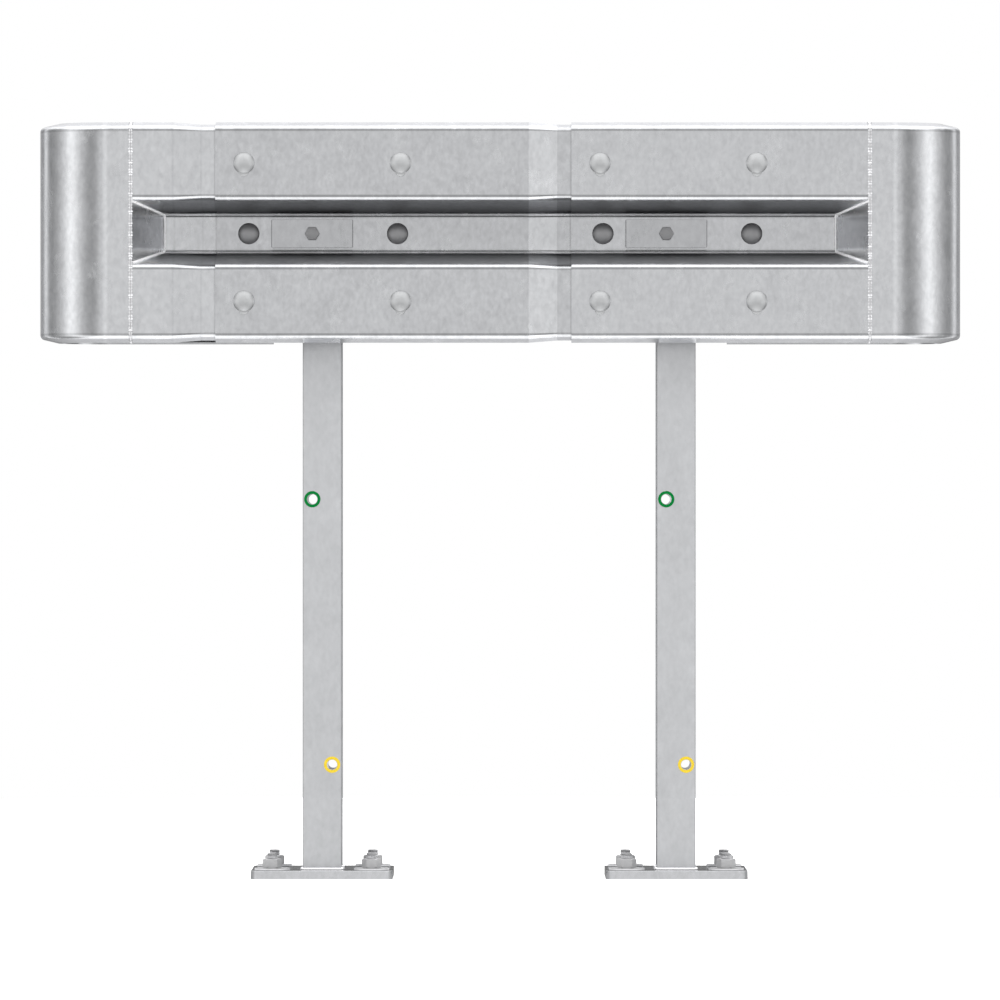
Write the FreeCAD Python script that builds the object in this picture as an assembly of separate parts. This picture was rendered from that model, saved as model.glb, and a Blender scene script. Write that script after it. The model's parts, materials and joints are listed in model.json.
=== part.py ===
import FreeCAD, Part
import os
from math import asin, atan2, cos, pi, radians, sin, tan

# Crash barrier: two posts on base plates carry three lapped steel beams, and a bent nose closes each end.
# Lengths are millimetres. X runs along the barrier, Y to the rear and Z up.
# While a piece is made, Y is its depth behind the plane of the beam crests.

# Whole barrier
joint_pitch = 500.0

# Beam section, folded from one sheet
sheet = 3.0
beam_height = 310.0
beam_depth = 81.0
flange_depth = 26.0
fold_slope = 13.4
valley_width = 53.8
bend_radius = 4.0
valley_radius = 7.0

# Lap joints: the sheet behind is set back by a joggle
lap_length = 300.0
lap_gap = 0.3
joggle_run = 40.0
joggle_lead = 20.0

# Bent noses and the plates that close the groove beside them
nose_flat = 36.0
nose_radius = 95.0
nose_return_from_joint = 72.0
root_gap = 0.4
closure_run = 45.0
closure_from_joggle = 14.0
fit_gap = 0.2
bead_width = 5.0
bead_rise = 1.3
closure_weld_leg = 4.0
closure_weld_margin = 8.0

# Posts, rolled I-section
post_depth = 100.0
post_width = 55.0
post_web = 4.1
post_flange = 5.7
post_root_radius = 7.0
post_top_rise = 90.0
post_shift = -1.5
post_hole_gauge = 28.0
post_hole_radius = 7.0
post_hole_pitch = 375.0
lower_hole_height = 160.0
post_weld_leg = 4.0
post_weld_root = 3.0

# Rings that mark the free holes
ring_clearance = 0.5
ring_width = 4.0
ring_thickness = 0.5

# Base plates and their anchors
plate_size = 200.0
plate_thickness = 12.0
plate_corner = 5.0
anchor_pitch = 140.0
anchor_radius = 8.0
anchor_hole_radius = 9.0
anchor_height = 36.0
anchor_nut_flats = 24.0
anchor_nut_height = 13.0
anchor_washer_radius = 25.0
anchor_washer_thickness = 3.0

# Splice bolts with domed heads
splice_radius = 8.0
splice_hole_radius = 9.0
splice_head_radius = 15.0
splice_head_height = 8.0
splice_head_rim = 2.0
splice_length = 27.0
splice_nut_flats = 24.0
splice_nut_height = 13.0
splice_washer_radius = 15.0
splice_washer_thickness = 3.0
crest_bolt_pitch = 220.0
crest_bolt_rise = 97.0
groove_bolt_pitch = 210.0
nib_width = 14.0
nib_reach = 4.0
nib_thickness = 3.0

# Hexagon bolt that holds each joint to its post
post_bolt_radius = 6.0
post_bolt_flats = 18.0
post_bolt_head = 7.5
post_bolt_length = 130.0
post_nut_height = 10.0
post_washer_radius = 12.0
post_washer_thickness = 2.5

# Cover strap under that bolt, and the slots behind it
strap_length = 115.0
strap_height = 40.0
strap_thickness = 5.0
strap_corner = 2.0
slot_length = 60.0
slot_width = 16.0

# Fasteners
thread_gap = 0.1
tip_chamfer = 1.5
nut_chamfer_angle = 30.0
mirror_plane = FreeCAD.Vector(1, 0, 0)

# Sizes that follow from the ones above
beam_centre_height = lower_hole_height + 2 * post_hole_pitch
half_lap = lap_length / 2
lap_clear = half_lap + joggle_lead + joggle_run
seam_from_centre = joint_pitch / 2 + lap_clear + closure_from_joggle + closure_run
half_length = seam_from_centre + nose_flat + nose_radius
slope = tan(radians(fold_slope))
groove_depth = beam_depth - sheet
crest_outer = beam_height / 2 - flange_depth * slope
crest_inner = valley_width / 2 + groove_depth * slope
lap_level = sheet + lap_gap
lap_back = lap_level + sheet
post_face = groove_depth + lap_back
post_middle = post_face + post_depth / 2
rear_reach = post_middle + plate_size / 2
y_origin = (rear_reach - splice_head_height) / 2
hole_side = post_hole_gauge / 2


def point(x, y, z):
    return FreeCAD.Vector(x, y, z)


def rounded_edges(corners, radii):
    """Straight edges through the corners, joined by tangent arcs. A radius of 0 keeps a corner sharp."""
    edges = []
    start = corners[0]
    for index in range(1, len(corners)):
        corner = corners[index]
        radius = radii[index]
        if radius == 0:
            edges.append(Part.makeLine(start, corner))
            start = corner
            continue
        before = (corner - corners[index - 1]).normalize()
        after = (corners[index + 1] - corner).normalize()
        half_turn = before.getAngle(after) / 2
        reach = radius * tan(half_turn)
        inwards = (after - before).normalize()
        enter = corner - before * reach
        middle = corner + inwards * (radius / cos(half_turn) - radius)
        leave = corner + after * reach
        edges.append(Part.makeLine(start, enter))
        edges.append(Part.Arc(enter, middle, leave).toShape())
        start = leave
    return edges


def rearward(before, after):
    """Unit vector square to an outline that runs down the front of a sheet, towards its rear."""
    along = (after - before).normalize()
    return point(0, -along.z, along.y)


def set_back(outline, distance):
    """The same outline moved square to itself, to the rear of the sheet."""
    normals = [rearward(a, b) for a, b in zip(outline, outline[1:])]
    moved = [outline[0] + normals[0] * distance]
    for corner, first, second in zip(outline[1:], normals, normals[1:]):
        moved.append(corner + (first + second) * (distance / (1 + first.dot(second))))
    moved.append(outline[-1] + normals[-1] * distance)
    return moved


def bend_radii(outline, of_back):
    """Radius of each bend on the front or the back of the sheet, 0 at its two edges."""
    radii = [0.0]
    for before, corner, after in zip(outline, outline[1:], outline[2:]):
        turn = (after - corner).normalize() - (corner - before).normalize()
        centre_behind = turn.dot(rearward(before, corner)) > 0
        inside = bend_radius if centre_behind else valley_radius
        outside = centre_behind != of_back
        radii.append(inside + sheet if outside else inside)
    radii.append(0.0)
    return radii


def sheet_section(outline, level, x):
    """Closed section of the sheet at x, set back by level from the given front outline."""
    front = set_back(outline, level)
    back = set_back(outline, level + sheet)
    corners = front + back[::-1] + front[:1]
    radii = bend_radii(outline, False) + bend_radii(outline, True)[::-1] + [0.0]
    wire = Part.Wire(rounded_edges(corners, radii))
    wire.translate(point(x, 0, 0))
    return wire


def beam_outline():
    """Sharp front corners of the beam, from its upper edge to its lower edge."""
    upper = [
        point(0, flange_depth, beam_height / 2),
        point(0, 0, crest_outer),
        point(0, 0, crest_inner),
        point(0, groove_depth, valley_width / 2),
    ]
    lower = [point(0, corner.y, -corner.z) for corner in reversed(upper)]
    return [corner + point(0, 0, beam_centre_height) for corner in upper + lower]


def nose_outline():
    """Sharp front corners of a nose: the beam without its groove."""
    outline = beam_outline()
    return outline[:2] + outline[-2:]


def straight_sheet(outline, level, x_start, x_end):
    face = Part.Face(sheet_section(outline, level, x_start))
    return face.extrude(point(x_end - x_start, 0, 0))


def joined(pieces):
    return pieces[0].multiFuse(pieces[1:]).removeSplitter()


def joggled_beam(x_start, x_joggle, x_end):
    """Beam whose right-hand end is set back, so that the next one lies in front of it."""
    outline = beam_outline()
    x_back = x_joggle + joggle_run
    ends = [sheet_section(outline, 0, x_joggle), sheet_section(outline, lap_level, x_back)]
    return joined([
        straight_sheet(outline, 0, x_start, x_joggle),
        Part.makeLoft(ends, True, True),
        straight_sheet(outline, lap_level, x_back, x_end),
    ])


def rod(radius, length, x, y, z):
    """Cylinder that runs to the rear from its front centre."""
    return Part.makeCylinder(radius, length, point(x, y, z), point(0, 1, 0))


def slot_cutter(x, y, depth):
    """Rounded slot along X at beam height, cut to the rear from y."""
    half_span = (slot_length - slot_width) / 2
    radius = slot_width / 2
    bar = Part.makeBox(2 * half_span, depth, slot_width, point(x - half_span, y, beam_centre_height - radius))
    ends = [rod(radius, depth, x + way * half_span, y, beam_centre_height) for way in (-1, 1)]
    return bar.multiFuse(ends)


def crest_bolt_places(joint_x):
    half = crest_bolt_pitch / 2
    rises = (-crest_bolt_rise, crest_bolt_rise)
    return [(joint_x + way * half, beam_centre_height + rise) for way in (-1, 1) for rise in rises]


def groove_bolt_places(joint_x):
    half = groove_bolt_pitch / 2
    return [(joint_x + way * half, beam_centre_height) for way in (-1, 1)]


def drilled(beam, joint_xs):
    """Cut the holes of each joint through a beam."""
    through = beam_depth + lap_back
    cutters = []
    for joint_x in joint_xs:
        places = crest_bolt_places(joint_x) + groove_bolt_places(joint_x)
        cutters += [rod(splice_hole_radius, through, x, -sheet, z) for x, z in places]
        cutters.append(slot_cutter(post_bolt_x(joint_x), -sheet, through))
    return beam.cut(cutters)


def post_x(joint_x):
    return joint_x + post_shift


def post_bolt_x(joint_x):
    return post_x(joint_x) - hole_side


def nose():
    """Right-hand nose: a short flat, a half turn and a long return behind the beam."""
    outline = nose_outline()
    x_seam = seam_from_centre + root_gap / 2
    x_bend = half_length - nose_radius
    at_bend = Part.Face(sheet_section(outline, 0, x_bend))
    axis_foot = point(x_bend, nose_radius, 0)
    round_end = at_bend.revolve(axis_foot, point(0, 0, 1), 180)
    behind = at_bend.copy()
    behind.rotate(axis_foot, point(0, 0, 1), 180)
    back_leg = behind.extrude(point(joint_pitch / 2 + nose_return_from_joint - x_bend, 0, 0))
    return joined([straight_sheet(outline, 0, x_seam, x_bend), round_end, back_leg])


def nose_weld():
    """Flat bead over the seam between a nose and its beam."""
    outline = nose_outline()
    path = Part.Wire(rounded_edges(outline, bend_radii(outline, False)))
    start = outline[0]
    crown = start - rearward(outline[0], outline[1]) * bead_rise
    edge = point(bead_width / 2, 0, 0)
    cap = Part.Arc(start - edge, crown, start + edge).toShape()
    base = Part.makeLine(start + edge, start - edge)
    bead = path.makePipeShell([Part.Wire([cap, base])], True, False)
    return bead.translated(point(seam_from_centre, 0, 0))


def closure_line():
    """Ends of the closure plate's front face: behind the edge of the nose, and at the valley."""
    x_edge = seam_from_centre - root_gap / 2
    top = point(x_edge, sheet + fit_gap, beam_centre_height)
    return top, point(x_edge - closure_run, groove_depth, beam_centre_height)


def closure():
    """Sloping plate that shuts the groove beside the nose, trimmed to the shape of the groove."""
    top, foot = closure_line()
    lean = atan2(foot.y - top.y, closure_run)
    thick = point(sheet / sin(lean), 0, 0)
    slab = Part.Face(Part.makePolygon([top, top + thick, foot + thick, foot, top]))
    slab.translate(point(0, 0, -crest_outer))
    slab = slab.extrude(point(0, 0, 2 * crest_outer))
    groove = set_back(beam_outline()[1:-1], -fit_gap)
    clear = point(0, -beam_depth, 0)
    corners = [groove[0] + clear] + groove + [groove[-1] + clear, groove[0] + clear]
    radii = [0.0] + bend_radii(groove, False) + [0.0, 0.0]
    inside = Part.Face(Part.Wire(rounded_edges(corners, radii)))
    inside = inside.extrude(point(half_length, 0, 0))
    return slab.common(inside)


def fillet_bead(start, end, first, second):
    """Three-cornered bead in the corner from start to end, with a leg on each of two faces."""
    tips = [start + way * closure_weld_leg for way in (first, second)]
    face = Part.Face(Part.makePolygon([start] + tips + [start]))
    return face.extrude(end - start)


def closure_weld():
    """Beads on the three inner sides of a closure plate."""
    top, foot = closure_line()
    down = (foot - top).normalize()
    plate_normal = down.cross(point(0, 0, 1))
    near = closure_weld_margin / groove_depth
    beads = []
    for way in (-1, 1):
        mouth = top + point(0, 0, way * (crest_inner - top.y * slope))
        deep = foot + point(0, 0, way * valley_width / 2)
        along = (deep - mouth).normalize()
        wall_normal = point(0, groove_depth, -way * (crest_inner - valley_width / 2)).cross(point(1, 0, 0))
        on_plate = along.cross(plate_normal).normalize()
        on_plate = on_plate * (-way if on_plate.z > 0 else way)
        on_wall = along.cross(wall_normal).normalize()
        on_wall = on_wall * (-1 if on_wall.x > 0 else 1)
        reach = deep - mouth
        beads.append(fillet_bead(mouth + reach * near, deep - reach * near, on_plate, on_wall))
    half = point(0, 0, valley_width / 2 - closure_weld_margin)
    beads.append(fillet_bead(foot - half, foot + half, down * -1, point(-1, 0, 0)))
    return Part.makeCompound(beads)


def post_section(outset, z):
    """Outline of the I-section at height z, grown by outset on all sides."""
    width = post_width / 2 + outset
    depth = post_depth / 2 + outset
    inner = post_depth / 2 - post_flange - outset
    web = post_web / 2 + outset
    root = post_weld_root if outset else post_root_radius
    quarter = [(width, depth, 0), (width, inner, 0), (web, inner, root)]
    right = quarter + [(x, -y, r) for x, y, r in reversed(quarter)]
    ring = right + [(-x, y, r) for x, y, r in reversed(right)]
    ring.append(ring[0])
    corners = [point(x, post_middle + y, z) for x, y, r in ring]
    return Part.Wire(rounded_edges(corners, [r for x, y, r in ring]))


def hole_marks(joint_x):
    """Places of the two free holes in a post, the upper one first."""
    x = post_x(joint_x)
    upper = (x - hole_side, beam_centre_height - post_hole_pitch)
    lower = (x + hole_side, lower_hole_height)
    return upper, lower


def post(joint_x):
    stem = Part.Face(post_section(0, plate_thickness))
    stem = stem.extrude(point(0, 0, beam_centre_height + post_top_rise - plate_thickness))
    stem.translate(point(post_x(joint_x), 0, 0))
    places = [(post_bolt_x(joint_x), beam_centre_height)] + list(hole_marks(joint_x))
    return stem.cut([rod(post_hole_radius, post_depth, x, post_face, z) for x, z in places])


def post_weld(joint_x):
    """Sloping bead round the foot of a post."""
    collar = Part.makeLoft([
        post_section(post_weld_leg, plate_thickness),
        post_section(0, plate_thickness + post_weld_leg),
    ], True, True)
    stem = Part.Face(post_section(0, plate_thickness)).extrude(point(0, 0, post_weld_leg))
    return collar.cut(stem).translated(point(post_x(joint_x), 0, 0))


def anchor_places(joint_x):
    half = anchor_pitch / 2
    ways = (-1, 1)
    return [(post_x(joint_x) + a * half, post_middle + b * half) for a in ways for b in ways]


def base_plate(joint_x):
    half = plate_size / 2
    corner = point(post_x(joint_x) - half, post_middle - half, 0)
    plate = Part.makeBox(plate_size, plate_size, plate_thickness, corner)
    upright = [e for e in plate.Edges if abs(e.tangentAt(e.FirstParameter).z) > 0.5]
    plate = plate.makeChamfer(plate_corner, upright)
    holes = [Part.makeCylinder(anchor_hole_radius, plate_thickness, point(x, y, 0))
             for x, y in anchor_places(joint_x)]
    return plate.cut(holes)


def ring(inner, outer, thickness):
    """Flat ring that lies from y = 0 to the rear."""
    return rod(outer, thickness, 0, 0, 0).cut(rod(inner, thickness, 0, 0, 0))


def turned(profile):
    """Solid of revolution about Y from (radius, y) corners that start and end on the axis."""
    corners = [point(radius, y, 0) for radius, y in profile]
    face = Part.Face(Part.makePolygon(corners + corners[:1]))
    return face.revolve(point(0, 0, 0), point(0, 1, 0), 360)


def hexagon(flats, thickness, chamfered_rear):
    """Hexagonal prism with chamfered corners, its own corners pointing along X."""
    corner_radius = flats / 2 / cos(pi / 6)
    turns = [k * pi / 3 for k in range(7)]
    sides = Part.makePolygon([point(corner_radius * cos(a), 0, corner_radius * sin(a)) for a in turns])
    prism = Part.Face(sides).extrude(point(0, thickness, 0))
    fall = (corner_radius - flats / 2) * tan(radians(nut_chamfer_angle))
    rear = [(corner_radius, thickness - fall), (flats / 2, thickness)]
    if not chamfered_rear:
        rear = [(corner_radius, thickness)]
    cone = turned([(0, 0), (flats / 2, 0), (corner_radius, fall)] + rear + [(0, thickness)])
    return prism.common(cone)


def nut(flats, height, thread_radius):
    return hexagon(flats, height, True).cut(rod(thread_radius + thread_gap, height, 0, 0, 0))


def shank(radius, length):
    """Shank from y = 0 to the rear, with a chamfered tip."""
    tip = radius - tip_chamfer
    return turned([(0, 0), (radius, 0), (radius, length - tip_chamfer), (tip, length), (0, length)])


def domed_bolt(length, with_nib):
    """Splice bolt with a low domed head in front of y = 0."""
    dome = splice_head_height - splice_head_rim
    sphere = (splice_head_radius ** 2 + dome ** 2) / (2 * dome)
    half_angle = asin(splice_head_radius / sphere) / 2
    crown = point(0, -splice_head_height, 0)
    middle = crown + point(sphere * sin(half_angle), sphere * (1 - cos(half_angle)), 0)
    shoulder = point(splice_head_radius, -splice_head_rim, 0)
    foot = point(splice_head_radius, 0, 0)
    edges = [Part.Arc(crown, middle, shoulder).toShape()]
    edges += [Part.makeLine(shoulder, foot), Part.makeLine(foot, point(0, 0, 0))]
    edges.append(Part.makeLine(point(0, 0, 0), crown))
    head = Part.Face(Part.Wire(edges)).revolve(point(0, 0, 0), point(0, 1, 0), 360)
    pieces = [head, shank(splice_radius, length)]
    if with_nib:
        drop = splice_head_radius + nib_reach - nib_width / 2
        corner = point(-nib_width / 2, -nib_thickness, -drop)
        pieces.append(Part.makeBox(nib_width, nib_thickness, drop, corner))
        pieces.append(rod(nib_width / 2, nib_thickness, 0, -nib_thickness, -drop))
    return joined(pieces)


def placed(piece, places, y):
    """Copies of a piece at (x, z) places, all at the same depth, as one group."""
    return Part.makeCompound([piece.translated(point(x, y, z)) for x, z in places])


def splice(places, seat, with_nib):
    """Bolts, washers and nuts that clamp two lapped sheets whose front face is at the depth seat."""
    rear = seat + lap_back
    washer = ring(splice_radius + thread_gap, splice_washer_radius, splice_washer_thickness)
    return (
        placed(domed_bolt(splice_length, with_nib), places, seat),
        placed(washer, places, rear),
        placed(nut(splice_nut_flats, splice_nut_height, splice_radius), places, rear + splice_washer_thickness),
    )


def cover_strap(joint_x):
    """Flat strap that covers the slots in the valley."""
    x = post_bolt_x(joint_x)
    front = groove_depth - strap_thickness
    corner = point(x - strap_length / 2, front, beam_centre_height - strap_height / 2)
    strap = Part.makeBox(strap_length, strap_thickness, strap_height, corner)
    ends = [e for e in strap.Edges if abs(e.tangentAt(e.FirstParameter).y) > 0.5]
    strap = strap.makeFillet(strap_corner, ends)
    return strap.cut(rod(post_hole_radius, strap_thickness, x, front, beam_centre_height))


def post_fastening(joint_x):
    """Hexagon bolt, washer and nut that hold a joint to both flanges of its post."""
    places = [(post_bolt_x(joint_x), beam_centre_height)]
    front = groove_depth - strap_thickness
    rear = post_face + post_depth
    head = hexagon(post_bolt_flats, post_bolt_head, False)
    bolt = joined([head, shank(post_bolt_radius, post_bolt_head + post_bolt_length)])
    washer = ring(post_bolt_radius + thread_gap, post_washer_radius, post_washer_thickness)
    return (
        placed(bolt, places, front - post_bolt_head),
        placed(washer, places, rear),
        placed(nut(post_bolt_flats, post_nut_height, post_bolt_radius), places, rear + post_washer_thickness),
    )


def upright(piece, height, places):
    """Copies of a piece made along Y, stood on end at a height, as one group."""
    standing = piece.copy()
    standing.rotate(point(0, 0, 0), point(1, 0, 0), 90)
    return Part.makeCompound([standing.translated(point(x, y, height)) for x, y in places])


def anchors(joint_x):
    """Studs, washers and nuts of one base plate."""
    places = anchor_places(joint_x)
    nut_seat = plate_thickness + anchor_washer_thickness
    washer = ring(anchor_radius + thread_gap, anchor_washer_radius, anchor_washer_thickness)
    return (
        upright(shank(anchor_radius, anchor_height), 0, places),
        upright(washer, plate_thickness, places),
        upright(nut(anchor_nut_flats, anchor_nut_height, anchor_radius), nut_seat, places),
    )


def hole_ring(place):
    x, z = place
    inner = post_hole_radius + ring_clearance
    marker = ring(inner, inner + ring_width, ring_thickness)
    return marker.translated(point(x, post_face - ring_thickness, z))


def joint_pieces(side, joint_x):
    """Every piece that belongs to one lap joint and its post, by name."""
    pieces = {
        side + "_post": post(joint_x),
        side + "_post_weld": post_weld(joint_x),
        side + "_base_plate": base_plate(joint_x),
        side + "_cover_strap": cover_strap(joint_x),
    }
    upper, lower = hole_marks(joint_x)
    pieces[side + "_upper_hole_ring"] = hole_ring(upper)
    pieces[side + "_lower_hole_ring"] = hole_ring(lower)
    groups = {
        "_post_bolt": post_fastening(joint_x),
        "_crest_bolts": splice(crest_bolt_places(joint_x), 0, True),
        "_groove_bolts": splice(groove_bolt_places(joint_x), groove_depth, False),
        "_anchor_studs": anchors(joint_x),
    }
    for name, (bolts, washers, nuts) in groups.items():
        kind = name.rsplit("_", 1)[0]
        plural = "s" if name.endswith("s") else ""
        pieces[side + name] = bolts
        pieces[side + kind + "_washer" + plural] = washers
        pieces[side + kind + "_nut" + plural] = nuts
    return pieces


def build():
    """Every piece of the barrier, by name."""
    left_joint = -joint_pitch / 2
    right_joint = joint_pitch / 2
    beam_end = seam_from_centre - root_gap / 2
    left = joggled_beam(-beam_end, left_joint - lap_clear, left_joint + half_lap)
    middle = joggled_beam(left_joint - half_lap, right_joint - lap_clear, right_joint + half_lap)
    right = straight_sheet(beam_outline(), 0, right_joint - half_lap, beam_end)
    pieces = {
        "left_end_beam": drilled(left, [left_joint]),
        "middle_beam": drilled(middle, [left_joint, right_joint]),
        "right_end_beam": drilled(right, [right_joint]),
    }
    ends = {
        "nose": nose(),
        "nose_weld": nose_weld(),
        "groove_closure": closure(),
        "closure_weld": closure_weld(),
    }
    for name, shape in ends.items():
        pieces["right_" + name] = shape
        pieces["left_" + name] = shape.mirror(point(0, 0, 0), mirror_plane)
    pieces.update(joint_pieces("left", left_joint))
    pieces.update(joint_pieces("right", right_joint))
    return pieces


os.makedirs("parts", exist_ok=True)
for node, shape in build().items():
    shape.translate(point(0, -y_origin, 0))
    shape.exportStep("parts/" + node + ".step")
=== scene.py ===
import json
import math

import bmesh
import bpy
from mathutils import Matrix, Vector

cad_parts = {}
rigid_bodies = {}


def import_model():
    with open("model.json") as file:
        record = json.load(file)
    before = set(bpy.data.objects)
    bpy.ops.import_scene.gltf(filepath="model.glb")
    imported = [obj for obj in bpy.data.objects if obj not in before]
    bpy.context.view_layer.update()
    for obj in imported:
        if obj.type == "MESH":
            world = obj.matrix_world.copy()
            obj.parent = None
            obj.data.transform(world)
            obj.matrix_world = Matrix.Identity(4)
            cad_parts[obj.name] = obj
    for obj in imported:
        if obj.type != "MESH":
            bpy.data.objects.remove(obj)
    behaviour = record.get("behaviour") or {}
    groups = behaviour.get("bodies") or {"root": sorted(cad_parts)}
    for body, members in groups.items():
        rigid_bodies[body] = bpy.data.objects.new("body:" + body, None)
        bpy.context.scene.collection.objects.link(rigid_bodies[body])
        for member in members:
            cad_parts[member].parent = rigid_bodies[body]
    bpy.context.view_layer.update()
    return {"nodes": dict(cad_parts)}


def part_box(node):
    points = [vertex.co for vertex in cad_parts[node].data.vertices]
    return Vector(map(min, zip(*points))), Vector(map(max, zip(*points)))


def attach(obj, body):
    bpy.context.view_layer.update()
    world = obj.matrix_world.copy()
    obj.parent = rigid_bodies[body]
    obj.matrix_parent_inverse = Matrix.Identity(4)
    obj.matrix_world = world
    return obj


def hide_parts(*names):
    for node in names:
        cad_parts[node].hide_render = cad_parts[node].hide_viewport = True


for left_over in list(bpy.data.objects):
    bpy.data.objects.remove(left_over)
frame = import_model()

bl_info = {
    "name": "Crash barrier finish",
    "version": (1, 0, 0),
    "blender": (4, 5, 0),
    "location": "View3D > Sidebar > Barrier",
    "description": "Galvanised finishes, weld beads, threads and a studio for the crash barrier",
    "category": "Object",
}

MM = 0.001
SIDES = ("left", "right")

# Painted light and shade of the folded sheet by the distance from the middle of its section, in millimetres.
# A beam has the floor of the groove a little darker, painted dark lines where it turns into the bends, its
# bends at full tone, its walls painted dark at the foot and light at the mouth, and painted dark lines along
# the folds at the edges of the crests.
# A closure plate has painted shade in the middle and painted light towards its edges. A nose has painted dark
# lines along its two outer folds.
SECTION_REACH = 160
TONE_PEAK = 2
BEAM_LIGHT_AND_SHADE = (
    (0, 0.90), (23.0, 0.95), (23.7, 0.35), (25.0, 0.35), (25.4, 1.0), (27.8, 1.0), (28.6, 0.32), (31, 0.38),
    (38, 1.16), (44, 1.65), (46, 1.1), (49.4, 1.0), (50.2, 0.62), (52.0, 0.62), (52.8, 1.0), (141.5, 1.0),
    (142.3, 0.66), (144, 0.66), (144.8, 1.0), (148, 1.0), (149, 0.96))
CLOSURE_LIGHT_AND_SHADE = ((0, 0.5), (20, 0.5), (24, 0.9), (29, 1.6), (48, 1.9))
NOSE_LIGHT_AND_SHADE = ((0, 1.0), (141.0, 1.0), (142.0, 0.8), (143.6, 0.75), (145, 1.0), (148, 1.0), (149, 0.86))

# Painted light and shade on a splice bolt's head by the height over its centre, in radii
HEAD_REACH = 1.1
CREST_HEAD_LIGHT_AND_SHADE = (
    (-1.06, 1.25), (-1.0, 1.0), (-0.93, 1.0), (-0.75, 0.82), (-0.56, 0.84), (-0.37, 0.95), (-0.19, 1.10),
    (0, 1.16), (0.28, 0.955), (0.47, 0.82), (0.84, 0.76), (1.0, 0.72))
GROOVE_HEAD_LIGHT_AND_SHADE = ((-1.0, 1.35), (-0.7, 1.35), (-0.25, 1.15), (0.2, 1.0), (0.8, 0.95), (1.0, 0.6))

# Stretches along the barrier that carry painted light and shade: the sloping part of two joggles, with a
# painted highlight on the middle one and painted dark lines at the kinks of the left one, and the place where
# the noses start to curve, with a painted highlight
MIDDLE_JOGGLE = (40 * MM, 80 * MM)
LEFT_JOGGLE = (-460 * MM, -420 * MM)
NOSE_TURN = (552 * MM, 558 * MM)
KINK_REACH = 1.4 * MM
LAP_SHADE = 2.2 * MM

# Bands of the folded section, from its middle outwards: the upper crease with its painted dark line, the bend
# with its painted reflection, the rougher wall, the wall beside the closure plates with its painted highlight
# and the lower lip with its painted reflection of the posts
UPPER_CREASE = (23.4 * MM, 25.1 * MM)
BEND_PAINTED_REFLECTION = (25.2 * MM, 28.0 * MM)
GROOVE_WALL = (29.5 * MM, 47.5 * MM)
WALL_BESIDE_CLOSURE = (30 * MM, 44 * MM)
FLANGE_LIP = (149 * MM, 150.5 * MM)

# Sizes of the frame that its boxes don't give
FOLD_SLOPE = math.radians(13.4)
BEND_RADIUS = 7 * MM
SHEET = 3 * MM
FLANGE_DEPTH = 26 * MM
VALLEY_HALF = 26.9 * MM
CLOSURE_RUN = 45 * MM
POST_FLANGE = 5.7 * MM
POST_WEB = 4.1 * MM
POST_ROOT = 7 * MM
SPLICE_RADIUS = 8 * MM
SPLICE_WASHER_RADIUS = 15 * MM
ANCHOR_RADIUS = 8 * MM
ANCHOR_WASHER_RADIUS = 25 * MM
POST_BOLT_RADIUS = 6 * MM
NIB_RADIUS = 7 * MM
NIB_DROP = 12 * MM
NIB_THICKNESS = 3 * MM
HEAD_RIM = 2 * MM
SPLICE_HEAD = 8 * MM
POST_BOLT_HEAD = 7.5 * MM
STRAP_HOLE = 8 * MM
SOFT_EDGE = 0.35 * MM

X_AXIS = Vector((1, 0, 0))
Y_AXIS = Vector((0, 1, 0))
Z_AXIS = Vector((0, 0, 1))


def size_property(name, description, default):
    return bpy.props.FloatProperty(
        name=name, description=description, default=default, min=0, subtype="DISTANCE", unit="LENGTH")


def share_property(name, description, default):
    return bpy.props.FloatProperty(
        name=name, description=description, default=default, min=0, soft_max=1, subtype="FACTOR")


def colour_property(name, description, default):
    return bpy.props.FloatVectorProperty(
        name=name, description=description, default=default, min=0, max=1, size=3, subtype="COLOR")


class BarrierFinish(bpy.types.PropertyGroup):
    """Colours and grain of the zinc, the beads, the fasteners and the rings"""

    zinc: colour_property("Zinc", "Reflected colour of the galvanised sheet", (0.415, 0.42, 0.43))
    edge_zinc: colour_property("Zinc at a glance", "Tint of the zinc seen edge on", (0.55, 0.55, 0.56))
    fastener: colour_property("Fasteners", "Reflected colour of nuts and washers", (0.40, 0.405, 0.41))
    stud: colour_property("Studs", "Colour of the anchor studs", (0.42, 0.42, 0.43))
    anchor_nut: colour_property("Anchor nuts", "Colour of the dusty anchor nuts", (0.31, 0.31, 0.315))
    anchor_washer: colour_property("Anchor washers", "Colour of the dusty anchor washers", (0.62, 0.62, 0.63))
    crest_bolt: colour_property("Crest bolts", "Colour of the heads on the crests", (0.37, 0.375, 0.38))
    # Darker than the crest bolts: painted shade for the bolt heads and post bolts that sit in the groove
    groove_shaded_bolt: colour_property("Groove bolts", "Colour of the heads in the groove", (0.265, 0.265, 0.27))
    bead: colour_property("Weld bead", "Colour of the zinc over the welds", (0.49, 0.49, 0.50))
    groove_bead: colour_property("Groove bead", "Colour of the chalky zinc on its welds", (0.75, 0.75, 0.76))
    green: colour_property("Green ring", "Colour of the ring at the upper hole", (0.001, 0.115, 0.022))
    yellow: colour_property("Yellow ring", "Colour of the ring at the lower hole", (0.50, 0.37, 0.03))
    gloss: share_property("Roughness", "Roughness of the zinc", 0.24)
    spangle: size_property("Spangle", "Width of the zinc crystals", 0.009)
    cloud: size_property("Cloud", "Width of the broad cloudy patches", 0.060)
    mottle: size_property("Mottle", "Width of the smaller patches", 0.018)
    grain: size_property("Grain", "Width of the finest patches", 0.006)
    frost: size_property("Frost", "Width of the pale frosted patches", 0.030)
    sugar: size_property("Sugar", "Width of the grains in the frosted patches", 0.004)
    streak: size_property("Streak", "Width of the faint upright streaks", 0.012)


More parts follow.
